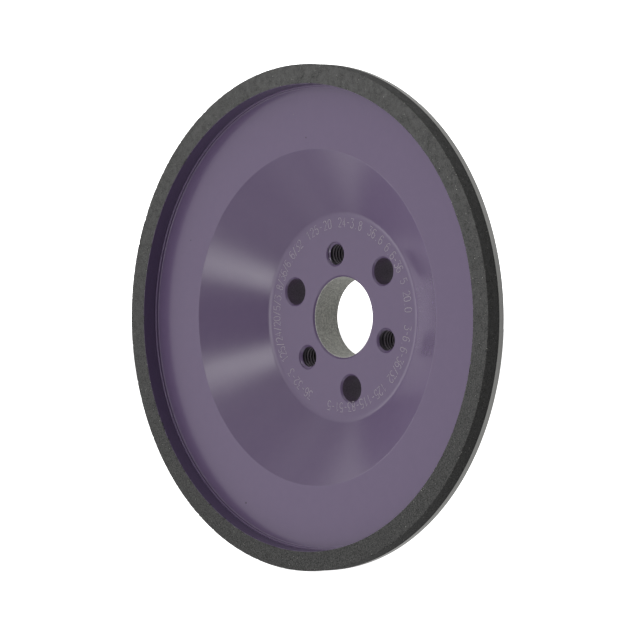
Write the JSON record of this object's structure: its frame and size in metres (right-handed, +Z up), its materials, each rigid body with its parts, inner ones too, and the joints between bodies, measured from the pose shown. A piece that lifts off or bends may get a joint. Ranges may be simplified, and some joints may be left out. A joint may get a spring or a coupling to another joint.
{
  "type": "grinding wheel",
  "caption": "Dish-shaped grinding wheel: lacquered steel carrier with a sunken hub, plain bore, clamping and jacking holes, and an abrasive ring bonded to the rim.",
  "frame": {"origin": "centre of the bore on the hub's rear mounting face, where the wheel seats on its flange", "axes": "+Y along the spin axis, out of the rear mounting face; the abrasive face looks along -Y; +Z up; +X to the right seen from the front"},
  "size_m": [0.125, 0.024, 0.125],
  "materials": {
    "lacquered_steel": "satin",
    "cured_adhesive": "matte",
    "bonded_abrasive": "matte"
  },
  "bodies": {
    "root": {"wheel_body": "lacquered_steel", "adhesive_film": "cured_adhesive", "abrasive_ring": "bonded_abrasive"}
  },
  "joints": []
}
